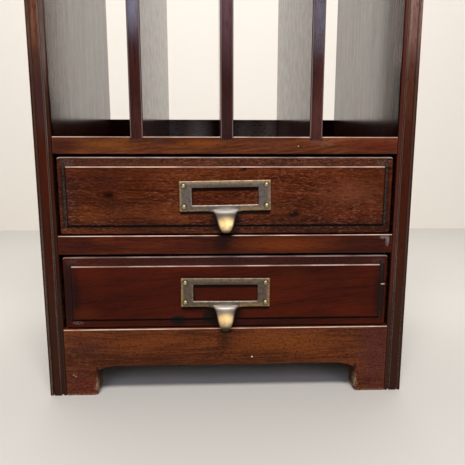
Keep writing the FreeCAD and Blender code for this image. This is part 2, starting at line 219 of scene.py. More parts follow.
def grainLayers(tree, lie, look):
    # noise drawn out along the grain, one layer for each thing that follows it
    layers = {}
    for offset, (layer, size, detail, low, high) in enumerate((
            ("figure", grain["figure"], 3.0, 0.34, 0.66),
            ("streak", grain["streak"], 2.0, 0.32, 0.68),
            ("pore", look["poreSize"], 0.0, 0.58, 0.70),
            ("fleck", grain["fleck"], 1.0, 0.55, 0.66),
            ("polish", grain["polish"], 3.0, 0.34, 0.66),
            ("dapple", grain["dapple"], 2.0, 0.36, 0.64))):
        length, width = size
        stretched = addNode(tree, "ShaderNodeMapping", {
            "Vector": lie, "Scale": (perMetre(length), perMetre(width), perMetre(width)),
            "Location": (4.3 * offset, 7.1 * offset, 2.9 * offset)})
        noise = addNode(tree, "ShaderNodeTexNoise", {
            "Vector": stretched, "Scale": 1.0, "Detail": detail})
        layers[layer] = addNode(tree, "ShaderNodeMapRange", {
            "Value": noise, "From Min": low, "From Max": high})
    return layers


def grainTints(tree, where, look, layers, blotch):
    # what lies in the wood itself: (mask, tint, amount, what breaks it up)
    fewer = addNode(tree, "ShaderNodeMapRange", {
        "Value": blotch, "From Min": 0.9, "From Max": 0.1, "To Min": 0.35})
    tints = [(blotch, look["dark"], look["blotch"], 1.0)]
    tints += [(spotMask(tree, where, x, z, wide, high, 0.0, look["near"]), tint, amount, 1.0)
              for x, z, wide, high, tint, amount in look["washes"]]
    tints += [(layers["pore"], look["deep"], look["pores"], 1.0),
              (layers["fleck"], look["pale"], look["flecks"], fewer)]
    for x, z, wide, high in look["knots"]:
        tints += [(spotMask(tree, where, x, z, 2.2 * wide, 2.2 * high), look["dark"], 0.7, 1.0),
                  (spotMask(tree, where, x, z, wide, high, 0.45), look["deep"], 0.9, 1.0)]
    return tints


def edgeTints(tree, flat, facing, look, speckle, grime, uneven):
    # rubbed arrises, a painted highlight line along every upward arris, and darkening in corners
    # that stands for dirt and painted shade
    rub = arrisMask(tree, flat, grain["arris"], 0.88)
    arrisHighlightMask = addNode(tree, "ShaderNodeSeparateXYZ", {0: flat}, "Z")
    arrisHighlightMask = addNode(tree, "ShaderNodeMapRange", {
        "Value": arrisHighlightMask, "From Min": 0.22, "From Max": 0.50})
    front = addNode(tree, "ShaderNodeMapRange", {
        "Value": facing, "From Min": 0.12, "From Max": 0.40})
    front = addNode(tree, "ShaderNodeMath", {0: front, 1: uneven}, operation="MULTIPLY")
    return [(rub, look["worn"], look["wear"], speckle),
            (arrisHighlightMask, look["arrisHighlightTint"], look["arrisHighlight"], front),
            (grime, look["dirtAndShadeTint"], look["grime"], 1.0)]


def surfaceTints(tree, where, flat, look, layers, speckle, uneven):
    # what lies on the surface: strips of wax and of painted shade, a painted reflection on the
    # inner faces, and marks, some of them painted shadows and highlights
    across = addNode(tree, "ShaderNodeSeparateXYZ", {0: flat}, "X")
    across = addNode(tree, "ShaderNodeMath", {0: across}, operation="ABSOLUTE")
    sideways = addNode(tree, "ShaderNodeMath", {0: across, 1: 0.9}, operation="GREATER_THAN")
    reflectionMask = addNode(tree, "ShaderNodeMapRange", {"Value": layers["polish"], "To Min": 0.72})
    reflectionMask = addNode(tree, "ShaderNodeMath", {0: sideways, 1: reflectionMask}, operation="MULTIPLY")
    clouded = addNode(tree, "ShaderNodeMapRange", {
        "Value": uneven, "From Min": 0.45, "To Min": 0.86})
    reflectionMask = addNode(tree, "ShaderNodeMath", {0: reflectionMask, 1: clouded}, operation="MULTIPLY")
    tints = [(boxMask(tree, where, x, z, soft, frontZone), tint, amount,
              speckle if ragged else 1.0)
             for x, z, soft, tint, amount, ragged in look["strips"]]
    tints += [(boxMask(tree, where, x, z, 14, y), tint, amount, reflectionMask)
              for x, y, z, tint, amount in look["paintedReflection"]]
    tints += [(spotMask(tree, where, x, z, wide, high, 0.5, (frontPlane, 9)), tint, amount,
               speckle if ragged else 1.0)
              for x, z, wide, high, tint, amount, ragged in look["marks"]]
    tints += [(layers["streak"], look["dark"], look["overGrain"], 1.0)]
    return tints


def polish(tree, where, facing, look, layers, speckle):
    # how glossy the polish is, face by face
    # the faces that hands and cloths reach are rubbed duller than the returns and arrises
    handled = look["coat"] * look["frontGloss"]
    sparkle = addNode(tree, "ShaderNodeMapRange", {
        "Value": speckle, "To Min": handled * (1.0 - look["sparkle"]),
        "To Max": handled * (1.0 + look["sparkle"])})
    gloss = addNode(tree, "ShaderNodeMath", {0: facing}, operation="ABSOLUTE")
    gloss = addNode(tree, "ShaderNodeMapRange", {
        "Value": gloss, "From Min": 0.1, "From Max": 0.7, "To Min": look["coat"],
        "To Max": sparkle})
    for layer, depth in ((look["rippleOf"], look["ripple"]), ("dapple", look["dapple"])):
        waver = addNode(tree, "ShaderNodeMapRange", {
            "Value": layers[layer], "To Min": 1.0 - depth})
        gloss = addNode(tree, "ShaderNodeMath", {0: gloss, 1: waver}, operation="MULTIPLY")
    if look["lowAngle"]:
        # old thick polish that mirrors only at a low angle
        low = addNode(tree, "ShaderNodeLayerWeight", {"Blend": 0.5}, "Facing")
        low = addNode(tree, "ShaderNodeMapRange", {
            "Value": low, "From Min": 0.30, "From Max": 0.62, "To Min": 0.04})
        gloss = addNode(tree, "ShaderNodeMath", {0: gloss, 1: low}, operation="MULTIPLY")
    if look["glossWithin"]:
        # the outsides have been handled dull
        inside = boxMask(tree, where, look["glossWithin"], None, 1.5)
        inside = addNode(tree, "ShaderNodeMapRange", {"Value": inside, "To Min": 0.22})
        gloss = addNode(tree, "ShaderNodeMath", {0: gloss, 1: inside}, operation="MULTIPLY")
    return gloss


def mahogany(name, look):
    material, tree = newMaterial(name)
    where = addNode(tree, "ShaderNodeTexCoord", output="Object")
    flat = addNode(tree, "ShaderNodeNewGeometry", output="Normal")
    facing = addNode(tree, "ShaderNodeVectorMath", {0: flat, 1: (0, -1, 0)}, "Value",
                     operation="DOT_PRODUCT")
    lie = runOfGrain(tree, where, look)
    layers = grainLayers(tree, lie, look)
    blotch = patches(tree, lie, grain["blotch"], 2.0, 0.38, 0.64)
    speckle = patches(tree, where, grain["speckle"], 2.0, 0.42, 0.62)
    uneven = patches(tree, where, grain["uneven"], 3.0, 0.36, 0.58, 0.45)
    grime = creviceMask(tree, grain["crevice"], 0.88, 0.55, True)
    tone = addNode(tree, "ShaderNodeMix", {0: look["streaks"], 2: layers["figure"],
                                           3: layers["streak"]})
    colour = addNode(tree, "ShaderNodeValToRGB", {"Fac": tone}, stops=(
        (0.22, look["dark"]), (0.78, look["light"]), (0.5, look["mid"])))
    tints = grainTints(tree, where, look, layers, blotch)
    tints += edgeTints(tree, flat, facing, look, speckle, grime, uneven)
    tints += surfaceTints(tree, where, flat, look, layers, speckle, uneven)
    for mask, tint, amount, within in tints:
        colour, _ = layOver(tree, colour, tint, mask, amount, within)
    height = addNode(tree, "ShaderNodeMath", {0: layers["pore"], 1: -0.6, 2: layers["streak"]},
                     operation="MULTIPLY_ADD")
    bump = addNode(tree, "ShaderNodeBump", {
        "Height": height, "Distance": mm(bumpDepth), "Strength": look["relief"]})
    rough = addNode(tree, "ShaderNodeMapRange", {
        "Value": blotch, "To Min": look["rough"], "To Max": look["rough"] + 0.10})
    rough = addNode(tree, "ShaderNodeMath", {0: grime, 1: 0.3, 2: rough},
                    operation="MULTIPLY_ADD")
    shader = addNode(tree, "ShaderNodeBsdfPrincipled", {
        "Base Color": colour, "Roughness": rough, "Normal": bump, "Coat Normal": bump,
        "Specular IOR Level": look["specular"], "Coat Roughness": look["coatRough"],
        "Coat Weight": polish(tree, where, facing, look, layers, speckle),
        "Coat IOR": look["coatIor"]})
    addNode(tree, "ShaderNodeOutputMaterial", {"Surface": shader})
    return material


def woodLook(**changes):
    # french-polished mahogany: deep red brown with short pores, under a clear gloss, with a
    # bright line painted along every upward arris as a highlight
    look = {
        "along": "X", "slope": 0, "shift": (0, 0, 0),     # the run of the grain
        "dark": "#33160c", "mid": "#4c2410", "light": "#643319",
        "streaks": 0.4, "blotch": 0.35, "overGrain": 0.0,
        "poreSize": (6.5, 0.75),       # real pores are 0.2 wide; drawn to be just seen
        "deep": "#1a0a05", "pores": 0.5, "pale": "#7c4c36", "flecks": 0.0,
        "worn": "#85503a", "wear": 0.3, "dirtAndShadeTint": "#140c0a", "grime": 0.6,
        # a painted highlight along every upward arris: its amount and tint
        "arrisHighlight": 0.9, "arrisHighlightTint": "#dcbfae",
        "near": (frontPlane, 30),      # Y the washes lie at and how deep they go
        "knots": (),                   # X, Z, half width, half height
        "washes": (),                  # X, Z, half width, half height, tint, amount
        "marks": (),                   # the same, and whether it is ragged
        "strips": (),                  # range of X, range of Z, fade, tint, amount, ragged
        "paintedReflection": (),                    # a painted reflection: ranges of X, Y and Z, tint, amount
        "ripple": 0.0, "rippleOf": "polish", "dapple": 0.0, "sparkle": 0.0,
        "glossWithin": None,           # range of X outside which the polish is dull
        "relief": 0.35, "rough": 0.5, "specular": 0.0,
        "coat": 1.0, "frontGloss": 0.6, "coatRough": 0.12, "coatIor": 1.22,
        "lowAngle": False}
    look.update(changes)
    return look


def dress(name, look, *members):
    # one kind of wood, on the boards cut from it
    wood = mahogany(name, woodLook(**look))
    for member in members:
        paint(nodes[member], wood)


def sideStrips(side):
    # pale lines in the two quirks beside the beads, partly wax and partly painted highlight; dark
    # painted shade in the outer quirk and along the inner edge
    inner = ("#5c2a22", 0.6) if side > 0 else ("#3a1c10", 0.5)
    strips = []
    for near, far, soft, tint, amount, ragged in (
            (151.9, 152.8, 0.5, "#5a463c", 0.50, False),
            (151.0, 151.6, 0.4, "#1c0f0a", 0.45, True),
            (146.8, 150.6, 1.2, "#451a0c", 0.50, False),
            (144.2, 144.8, 0.3, "#7a5c50", 0.55, False),
            (143.6, 144.4, 0.3, "#8c7a70", 0.35, True),
            (141.0, 143.0, 0.8, *inner, False),
            (139.5, 140.5, 0.4, "#0c0403", 0.85, False)):
        span = sorted((side * near, side * far))
        strips.append((span, None, soft, tint, amount, ragged))
    return tuple(strips)


# the case sides: the same mahogany under older, thicker polish, brown from the front and a
# pale grey mirror at a low angle
sideBoard = dict(
    along="Z", dark="#2b1610", mid="#402117", light="#532c20", streaks=0.55, blotch=0.5,
    overGrain=0.38, wear=0.15, worn="#6e4a3c", arrisHighlight=0.0, grime=0.35, frontGloss=0.22,
    coatIor=4.0, coatRough=0.17, ripple=0.16, dapple=0.07, glossWithin=(-141, 141),
    lowAngle=True)
leftSide = dict(
    sideBoard, strips=sideStrips(-1),
    # a pale painted reflection on the front of the inner face
    paintedReflection=(((-141, -139), (-120, -74), (262, 500), "#ab9a8a", 0.75),),
    # lighter high up, a painted sheen; redder lower down; darker towards the bottom
    washes=((-149, 312, 7, 60, "#94684f", 0.85), (-143, 300, 4, 70, "#7c6660", 0.8),
            (-148, 195, 7, 60, "#541a0e", 0.5), (-148, 30, 10, 80, "#1a0d08", 0.6)),
    # darker towards the bottom; a pale painted highlight high on the inner flat; pale lines in
    # the quirks, partly wax and partly painted highlight
    marks=((-148, 20, 16, 110, "#38241b", 0.65, False),
           (-147.5, 258, 5, 46, "#402c2c", 0.55, False),
           (-142.8, 320, 3.2, 66, "#75605c", 0.55, False),
           (-144.1, 262, 0.9, 66, "#7c6e6a", 0.6, False),
           (-153.0, 60, 0.9, 130, "#8c7a6a", 0.6, True),
           (-145.2, 50, 0.9, 120, "#66564c", 0.7, True)))
rightSide = dict(
    sideBoard, shift=(0, 30, 60), strips=sideStrips(1),
    # a pale painted reflection on the front of the inner face
    paintedReflection=(((139, 141), (-120, -84), (285, 500), "#a89686", 0.75),),
    # lighter high up, a painted sheen; darker towards the bottom
    washes=((149, 330, 10, 80, "#b8948a", 0.85), (148, 258, 9, 45, "#64402f", 0.7),
            (149, 165, 8, 45, "#37160c", 0.5), (148, 20, 12, 110, "#180c08", 0.6)),
    # darker towards the bottom; pale lines in the quirks, partly wax and partly painted highlight
    marks=((148, 20, 16, 110, "#36231c", 0.7, False),
           (144.6, 60, 0.9, 120, "#75665a", 0.7, True),
           (151.8, 36, 0.9, 90, "#75665a", 0.65, True)))
dress("polishedMahoganySideLeft", leftSide, "left_side")
dress("polishedMahoganySideRight", rightSide, "right_side")

# the top: an even red brown with a broad soft shine
topBoard = dict(shift=(40, 10, 30), coatIor=1.4, arrisHighlight=0.3)
dress("polishedMahoganyTop", topBoard, "top_board")

# the back: nearly black, thinly polished, with pale reflections painted low in the middle bays
backBoard = dict(
    shift=(90, 50, 10), coat=0.3, dark="#1c0b07", mid="#2a130a", light="#381b0f",
    near=(103.8, 10),
    washes=((-62, 242, 22, 44, "#9c9096", 0.75), (-34, 240, 28, 44, "#bcaeb0", 0.85),
            (28, 240, 28, 44, "#a8989a", 0.8), (56, 240, 22, 44, "#a89890", 0.85),
            (84, 238, 12, 26, "#6a707a", 0.8), (-96, 238, 12, 26, "#6a4034", 0.7)))
dress("polishedMahoganyBack", backBoard, "back_board")

dividersAt = (-72.65, 0.0, 72.65)
leftDivider, centreDivider, rightDivider = dividersAt

# the shelf's front edge: faded to orange, with dark and pale smudges under the dividers, and a
# dark nick with a painted glint
shelfEdge = dict(
    dark="#482416", mid="#6a3921", light="#80482a", slope=4, shift=(0, 0, 55),
    poreSize=(4.4, 0.6), pores=0.42, deep="#2a130a", streaks=0.5, overGrain=0.2,
    washes=((-96, 216, 40, 6, "#7e4a20", 0.65), (-21, 217, 28, 5, "#82461c", 0.6),
            (-134, 215, 26, 12, "#3a1c15", 0.85), (122, 216, 42, 10, "#561f16", 0.8),
            (-54, 219, 16, 3.5, "#3c2a24", 0.6), (34, 217, 36, 7, "#5f3524", 0.5)),
    marks=tuple((x, 219.0, 9.0, 2.6, tint, 0.75, True)
                for x, tint in zip(dividersAt, ("#241613", "#4a2414", "#5c4640")))
    # a dark nick, and a painted glint on its edge
    + ((59.2, 214.4, 1.6, 0.9, "#1c0b06", 0.9, False),
       (58.4, 214.7, 0.7, 0.4, "#e8d6cc", 0.9, False),
       (82, 216.6, 9, 1.8, "#6a564e", 0.6, True)))
dress("orangeMahoganyRail", shelfEdge, "shelf_board")

# the rail between the drawers: redder, orange right of the middle, scuffed grey at its end, with
# the upper pull's shadow painted dark below the middle
middleRail = dict(
    dark="#2c0d06", mid="#421709", light="#55220d", streaks=0.5, shift=(70, 0, 0), pores=0.4,
    washes=((46, 133, 72, 11, "#6e300f", 0.75), (-62, 134, 50, 8, "#5a220e", 0.5),
            (-4, 134, 10, 8, "#280d08", 0.7), (-125, 134, 25, 10, "#3a120c", 0.5),
            (112, 133, 26, 10, "#3a140c", 0.6)),
    marks=((136.0, 136.5, 2.2, 6.5, "#8d8480", 0.75, True),
           (132.5, 139.0, 4.0, 2.0, "#8d8480", 0.6, True),
           # the upper pull's painted shadow across the arris and below it
           (-1.2, 140.6, 8.5, 2.4, "#1c0905", 0.95, False),
           (-6, 134, 8, 8, "#220c06", 0.5, False)))
dress("redMahoganyRail", middleRail, "middle_rail")

# the apron: coarse open pores in faded orange brown, its feet chipped down to pale wood, with the
# lower pull's shadow painted on it
footChips = (
    # X each side of the middle, Z, half width, half height, tint, ragged
    (113.0, 23, 2.0, 4.0, "#2c140c", False), (112.4, 18, 1.8, 3.6, "#4c3828", True),
    (113.4, 14, 2.2, 3.2, "#7c684c", True), (112.6, 10, 2.8, 3.4, "#a8926e", True),
    (114.0, 6.5, 3.2, 2.6, "#8e7c60", True), (112.8, 3.0, 2.0, 2.2, "#5c4a38", True))
frontApron = dict(
    dark="#3e1c0d", mid="#582a13", light="#703817", poreSize=(1.9, 0.62), pores=0.7,
    deep="#200d07", pale="#8a5636", flecks=0.28, streaks=0.6, shift=(120, 20, 0),
    washes=((50, 47, 80, 16, "#7c4118", 0.6), (-70, 47, 55, 14, "#683413", 0.4),
            (-4, 48, 9, 14, "#30140a", 0.6), (-122, 46, 30, 20, "#42201a", 0.6),
            (130, 30, 24, 50, "#4c2523", 0.85), (-128, 12, 24, 26, "#52251e", 0.75),
            (-60, 33, 60, 6, "#3c1c0d", 0.45), (-118, 8, 12, 12, "#64281a", 0.5)),
    strips=((None, (-0.5, 1.2), 0.4, "#9a8474", 0.7, True),),
    marks=tuple((side * x, z, wide, high, tint, 0.9, ragged)
                for side in (-1, 1) for x, z, wide, high, tint, ragged in footChips)
    # two tiny painted glints, pale chips, and the lower pull's painted shadow across the top
    # arris
    + ((21.5, 33.5, 0.8, 0.8, "#f2efe8", 1.0, False),
       (-133.6, 18.9, 1.3, 0.45, "#a58a72", 0.8, False),
       (-131.8, 17.6, 1.3, 0.45, "#a58a72", 0.8, False),
       (140.6, 1.0, 0.8, 0.8, "#f2efe8", 1.0, False),
       (-1.0, 57.5, 7.5, 3.0, "#1c0a05", 0.85, False)))
dress("openGrainMahoganyApron", frontApron, "front_apron")

# the dividers: dark plum edges that catch a cool light at the top, helped by a painted sheen,
# with rubbed arrises that are partly a painted highlight
dividerEdge = 4.6             # each side of a divider's middle
divider = dict(
    along="Z", dark="#240c09", mid="#38150f", light="#4b2118", pores=0.35, streaks=0.55,
    overGrain=0.2, frontGloss=0.52, wear=0.7, worn="#8c7a76", arrisHighlight=0.0, coatIor=1.62,
    grime=0.3, coatRough=0.14, ripple=0.05, rippleOf="figure", dapple=0.16, sparkle=0.4,
    # a painted sheen at the top of each divider, cool on the outer two, and tone lower down
    washes=((centreDivider, 330, 9, 80, "#6a4e54", 0.7),
            (leftDivider, 322, 8, 34, "#6c6a80", 0.55),
            (rightDivider, 318, 8, 40, "#5a5668", 0.4),
            (leftDivider, 238, 9, 40, "#4a2a26", 0.4),
            (centreDivider, 240, 9, 40, "#3a2a2c", 0.4),
            (rightDivider, 238, 9, 44, "#653e36", 0.45)),
    strips=((None, (214.0, 219.3), 0.5, "#56260f", 0.9, False),
            (None, (219.0, 220.0), 0.4, "#3a2420", 0.6, True))
    # pale lines down both arrises, partly wear and partly painted highlight
    + tuple(((x + edge - 0.2, x + edge + 0.2), (221, 500), 0.3, "#a08e8c", 0.4, False)
            for x in dividersAt for edge in (-dividerEdge, dividerEdge)))
dress("polishedMahoganyDivider", divider, "divider_left", "divider_centre", "divider_right")

cardPlate = {
    "wide": 75.6, "high": 25.0, "thick": 2.4, "arris": 0.75,
    "windowWide": 54.8, "windowHigh": 14.3, "windowAbove": 5.7,   # below the upper edge
    "flareOut": 15.5, "flareIn": 10.6, "flareDrop": 0.9,          # where its lower edge dips
    "x": -1.5, "back": -98.9,                                     # its middle and its back
    "levels": {"upper": (174.55, 0.9), "lower": (92.35, -0.3)},   # height and tilt, right end up
}
halfWide, halfHigh = cardPlate["wide"] / 2, cardPlate["high"] / 2
windowHalf = cardPlate["windowWide"] / 2
windowTop = halfHigh - cardPlate["windowAbove"]
windowLow = windowTop - cardPlate["windowHigh"]

drawerField = {
    # half the width of the raised fields, and the lower and upper edge of each
    "half": 131.6, "upper": (150.0, 198.4), "lower": (68.6, 115.4),
}
fieldWaxAndSheen = {
    # old wax in the fielding, partly a painted reflection: its tint, how much beside the ends and
    # how much along the top
    "upper": ("#50504e", 0.42, 0.16), "lower": ("#3c4240", 0.34, 0.07),
}


def drawerStrips(level):
    # dark wax in the fielding beside both ends of the field; grey over it and at its ends that is
    # partly wax and partly a painted reflection; and a painted shadow under it
    low, high = drawerField[level]
    half = drawerField["half"]
    waxAndSheen, beside, along = fieldWaxAndSheen[level]
    strips = []
    for side in (-1, 1):
        for near, far, soft, tint, amount, ragged in (
                (0.0, 3.4, 1.6, "#1a1110", 0.70, False), (1.3, 2.2, 0.8, waxAndSheen, beside, True),
                (-0.4, 0.3, 0.4, "#0d0706", 0.60, False)):
            span = sorted(side * (half + reach) for reach in (near, far))
            strips.append((span, (low - 1.0, high + 2.5), soft, tint, amount, ragged))
        span = sorted(side * (half + reach) for reach in (-6.0, 3.5))
        strips.append((span, (high + 1.2, high + 4.5), 1.5, "#5c5a58", beside - 0.08, True))
    # a painted shadow under the field's lower step
    strips.append(((-half - 1, half + 1), (low - 1.5, low - 0.1), 0.5, "#090504", 0.95, False))
    strips.append(((-half, half), (high + 1.0, high + 5.5), 1.0, "#7d665a", along, True))
    # painted shadow of the frame in the window's upper edge and left end, and below the frame
    height = cardPlate["levels"][level][0]
    left, right = cardPlate["x"] - windowHalf, cardPlate["x"] + windowHalf
    top = height + windowTop
    strips.append(((left - 1, right + 1), (top - 2.4, top + 1), 1.0, "#0f0403", 0.85, False))
    strips.append(((left - 1, left + 0.7), (top - 20, top), 0.7, "#0f0403", 0.6, False))
    left, right = cardPlate["x"] - halfWide, cardPlate["x"] + halfWide
    under = height - halfHigh
    strips.append(((left + 1, right - 1), (under - 2.4, under + 1), 1.2, "#140603", 0.9, False))
    return tuple(strips)


def pullShadowAndGrease(level):
    # dark patches beside and below the pull: its painted shadow, and grease where fingers reach
    # in
    under = cardPlate["levels"][level][0] - halfHigh
    x = cardPlate["x"]
    return ((x + 2, under - 7, 16, 10, "#120503", 0.85, False),
            (x - 8, under - 10, 7, 10, "#160704", 0.6, False),
            (x + 2, under - 16, 13, 6, "#120503", 0.6, False))


# the upper front: lively figure, pale flecks in its pores that are partly wax and partly painted
# glints, and three knots
upperFront = dict(
    dark="#2f1208", mid="#481d0c", light="#5c2a12", flecks=0.58, pale="#80503a", streaks=0.5,
    strips=drawerStrips("upper"),
    knots=((55.8, 159.3, 5.5, 3.4), (-97.0, 175.1, 5.0, 2.6), (14.1, 196.6, 2.5, 1.4)),
    washes=((-114, 157, 26, 9, "#64300f", 0.55), (-50, 158, 40, 8, "#5e2c10", 0.5),
            (-106, 188, 36, 14, "#3a1712", 0.65), (-130, 176, 14, 30, "#33201d", 0.5),
            (-97, 168, 15, 13, "#2f1109", 0.6), (90, 192, 45, 7, "#5c2a14", 0.5),
            (68, 165, 10, 6, "#2c1108", 0.5), (95, 158, 40, 8, "#571f0d", 0.5),
            (-11, 172, 30, 8, "#451506", 0.5), (104, 176, 44, 18, "#74402a", 0.5),
            (0, 203.5, 170, 6, "#2c1812", 0.4), (0, 145.5, 170, 6, "#28130c", 0.4)),
    marks=((56.6, 158.6, 4.2, 1.9, "#1c0b06", 0.65, False),
           (54.2, 160.4, 1.5, 0.9, "#6a4232", 0.5, False)) + pullShadowAndGrease("upper"))
dress("figuredMahoganyFront", upperFront, "upper_drawer_front")

# the lower front: plain and dark red, darker at its edges, and greasy left of its pull
lowerFront = dict(
    dark="#2d0b05", mid="#3d1206", light="#4a1708", pores=0.35, streaks=0.4, slope=7,
    frontGloss=0.4, arrisHighlight=0.7, strips=drawerStrips("lower"),
    washes=((-122, 74, 22, 10, "#55230c", 0.5), (106, 74, 34, 10, "#551a08", 0.55),
            (55, 108, 26, 7, "#4c1f0c", 0.45), (-60, 90, 60, 12, "#300a05", 0.45),
            (0, 119.5, 160, 5, "#260f13", 0.9), (0, 64, 150, 5, "#24100d", 0.8),
            (-128.5, 95, 7, 34, "#1a0a0c", 0.75), (129.5, 90, 5, 34, "#1c0a0a", 0.6)),
    marks=((-42, 67.0, 10.0, 6.5, "#0f120f", 0.85, False),
           (-14.5, 70.0, 9.0, 9.5, "#0d100e", 0.85, False),
           (-27, 67.5, 12.0, 5.0, "#18100c", 0.75, True),
           (-22, 76.5, 20.0, 4.0, "#170705", 0.45, False),
           (-135.4, 90, 5.0, 36, "#200f0d", 0.8, False),
           (134.4, 90, 3.2, 34, "#161210", 0.6, False),
           (134.9, 97.6, 2.4, 0.7, "#c9b09c", 0.9, False),
           (-128.0, 65.6, 6, 2.0, "#8a7a74", 0.5, True)) + pullShadowAndGrease("lower"))
dress("plainMahoganyFront", lowerFront, "lower_drawer_front")

# drawer linings: plain quarter-sawn wood, waxed and dry, so light brown with no gloss
lining = dict(dark="#6b4629", mid="#8a6040", light="#a67b55", deep="#4a2e1a", pale="#b89068",
              flecks=0.3, coat=0.0, rough=0.6, worn="#b08a64", dirtAndShadeTint="#3c2818", arrisHighlight=0.0,
              specular=0.4)
dress("waxedDrawerLining", lining, "upper_drawer_back", "upper_drawer_bottom",
      "lower_drawer_back", "lower_drawer_bottom")
dress("waxedDrawerSide", dict(lining, along="Y"),
      "upper_drawer_side_left", "upper_drawer_side_right",
      "lower_drawer_side_left", "lower_drawer_side_right")

# bare secondary pine: sawn and rubbed, so pale, yellowish and dull
secondary = dict(dark="#8a6a48", mid="#a5845c", light="#bd9d73", deep="#6a4c30",
                 pale="#c8aa80", flecks=0.3, coat=0.0, rough=0.65, worn="#b08a64",
                 dirtAndShadeTint="#4a3826", arrisHighlight=0.0, specular=0.4)
dress("bareSecondaryPine", secondary, "bottom_board", "dust_panel", "glue_blocks",
      "upper_drawer_stops", "lower_drawer_stops", "top_dowels")
dress("bareSecondaryRunner", dict(secondary, along="Y"), "runner_left", "runner_right")
print("wood finished")


def metal(name, look):
    material, tree = newMaterial(name)
    where = addNode(tree, "ShaderNodeTexCoord", output="Object")
    flat = addNode(tree, "ShaderNodeNewGeometry", output="Normal")
    x, z, tilt = look["about"]
    where = addNode(tree, "ShaderNodeMapping", {
        "Vector": where, "Location": place(x, 0, z), "Rotation": (0, math.radians(-tilt), 0)},
        vector_type="TEXTURE")
    mottle = addNode(tree, "ShaderNodeTexNoise", {
        "Vector": where, "Scale": perMetre(look["mottle"]), "Detail": 4.0})
    colour = addNode(tree, "ShaderNodeValToRGB", {"Fac": mottle}, stops=(
        (0.35, look["dark"]), (0.65, look["light"])))
    rough = addNode(tree, "ShaderNodeMapRange", {
        "Value": mottle, "From Min": 0.35, "From Max": 0.65, "To Min": look["rough"] + 0.06,
        "To Max": look["rough"]})
    patchy = addNode(tree, "ShaderNodeMapRange", {
        "Value": mottle, "From Min": 0.36, "From Max": 0.60, "To Min": 0.45})
    rub = arrisMask(tree, flat, look["edge"], 0.86)
    grime = creviceMask(tree, look["crevice"], 0.85, 0.45, False)
    tints = [(boxMask(tree, where, x, z, soft), tint, amount, patchy, look["rough"])
             for x, z, soft, tint, amount in look["rubbed"]]
    tints += [(rub, look["worn"], look["wear"], patchy, look["rough"]),
              (grime, look["dirtAndShadeTint"], look["grime"], 1.0, look["dirtRough"])]
    tints += [(spotMask(tree, where, x, z, wide, high, 0.35), tint, amount,
               patchy if ragged else 1.0, smooth)
              for x, z, wide, high, tint, amount, smooth, ragged in look["washes"]]
    for mask, tint, amount, within, smooth in tints:
        colour, share = layOver(tree, colour, tint, mask, amount, within)
        rough = addNode(tree, "ShaderNodeMix", {0: share, 2: rough, 3: smooth})
    bump = addNode(tree, "ShaderNodeBump", {
        "Height": mottle, "Distance": mm(bumpDepth), "Strength": look["relief"]})
    shader = addNode(tree, "ShaderNodeBsdfPrincipled", {
        "Base Color": colour, "Metallic": 1.0, "Roughness": rough, "Normal": bump})
    addNode(tree, "ShaderNodeOutputMaterial", {"Surface": shader})
    return material


def metalLook(**changes):
    # antique brass: brown lacquered patina, rubbed through to gold where fingers go
    look = {
        "about": (0, 0, 0),            # X and Z of the fitting's middle, and its tilt
        "mottle": 2.6, "dark": "#665b56", "light": "#7e7169", "rough": 0.46,
        "edge": 0.8, "worn": "#dcc09a", "wear": 0.8,
        "crevice": 1.2, "dirtAndShadeTint": "#1a1510", "grime": 0.8, "dirtRough": 0.6,
        "rubbed": (),                  # range of X, range of Z, fade, tint, amount
        "washes": (),                  # X, Z, half width, half height, tint, amount,
                                       # roughness, ragged
        "relief": 0.25}
    look.update(changes)
    return look


def choose(*pieces):
    # selects these and nothing else, with the first of them active
    bpy.ops.object.select_all(action="DESELECT")
    for piece in pieces:
        piece.select_set(True)
    bpy.context.view_layer.objects.active = pieces[0]


def beginEdit(piece):
    choose(piece)
    bpy.ops.object.mode_set(mode="EDIT")


def endEdit():
    bpy.ops.mesh.select_all(action="SELECT")
    bpy.ops.mesh.normals_make_consistent(inside=False)
    bpy.ops.object.mode_set(mode="OBJECT")


def cut(at, normal, **settings):
    # in edit mode, cuts the whole mesh by a plane
    bpy.ops.mesh.select_all(action="SELECT")
    bpy.ops.mesh.bisect(plane_co=at, plane_no=normal, **settings)


def pick(piece, kind, test):
    # in edit mode, selects the vertices or faces whose middle passes a test in millimetres
    bpy.ops.mesh.select_mode(type={"verts": "VERT", "faces": "FACE"}[kind])
    bpy.ops.mesh.select_all(action="DESELECT")
    bpy.ops.object.mode_set(mode="OBJECT")
    items = piece.data.vertices if kind == "verts" else piece.data.polygons
    for item in items:
        middle = (item.co if kind == "verts" else item.center) * 1000
        item.select = bool(test(middle))
    bpy.ops.object.mode_set(mode="EDIT")


def finishModifier(piece, kind, **settings):
    choose(piece)
    modifier = piece.modifiers.new(kind.title(), kind)
    for key, value in settings.items():
        setattr(modifier, key, value)
    bpy.ops.object.modifier_apply(modifier=modifier.name)


def applyPlace():
    bpy.ops.object.transform_apply(location=True, rotation=True, scale=True)


def fitToDrawer(level, name, pieces, finish, smoothUnder):
    # joins pieces made about the plate's own middle and sets them on their drawer's front;
    # edges that turn by less than smoothUnder degrees are shaded smooth
    choose(*pieces)
    applyPlace()
    bpy.ops.object.join()
    fitting = bpy.context.object
    fitting.name = name
    height, tilt = cardPlate["levels"][level]
    fitting.rotation_euler = (0, math.radians(-tilt), 0)
    fitting.location = place(cardPlate["x"], cardPlate["back"], height)
    applyPlace()
    bpy.ops.object.shade_smooth_by_angle(angle=math.radians(smoothUnder))
    paint(fitting, finish)
    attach(fitting, level + "_drawer")
    return fitting


